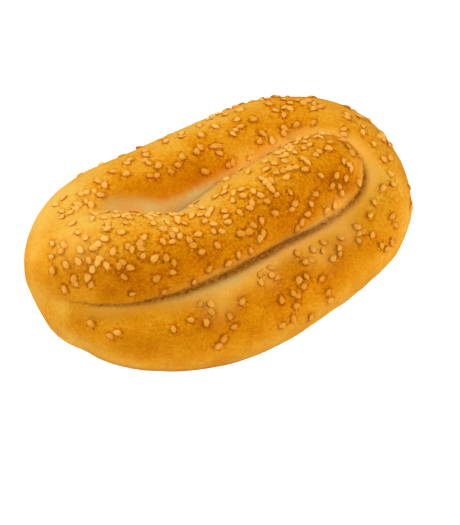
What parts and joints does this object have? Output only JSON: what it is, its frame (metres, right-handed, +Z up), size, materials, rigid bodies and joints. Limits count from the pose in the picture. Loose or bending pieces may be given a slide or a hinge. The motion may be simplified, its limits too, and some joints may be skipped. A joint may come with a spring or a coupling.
{
  "type": "horseshoe bread roll",
  "caption": "Bread roll wound from one rope of dough into a closed oval with its tip folded into the middle, strewn with sesame seeds, flat underneath.",
  "frame": {"origin": "on the table, under the middle of the roll's box", "axes": "+X along the roll's length, towards the end that the tip points to; +Z up"},
  "size_m": [0.1387, 0.0904, 0.0435],
  "materials": {
    "crust": "satin",
    "sesame": "satin"
  },
  "bodies": {
    "root": {"roll": "crust"}
  },
  "joints": []
}
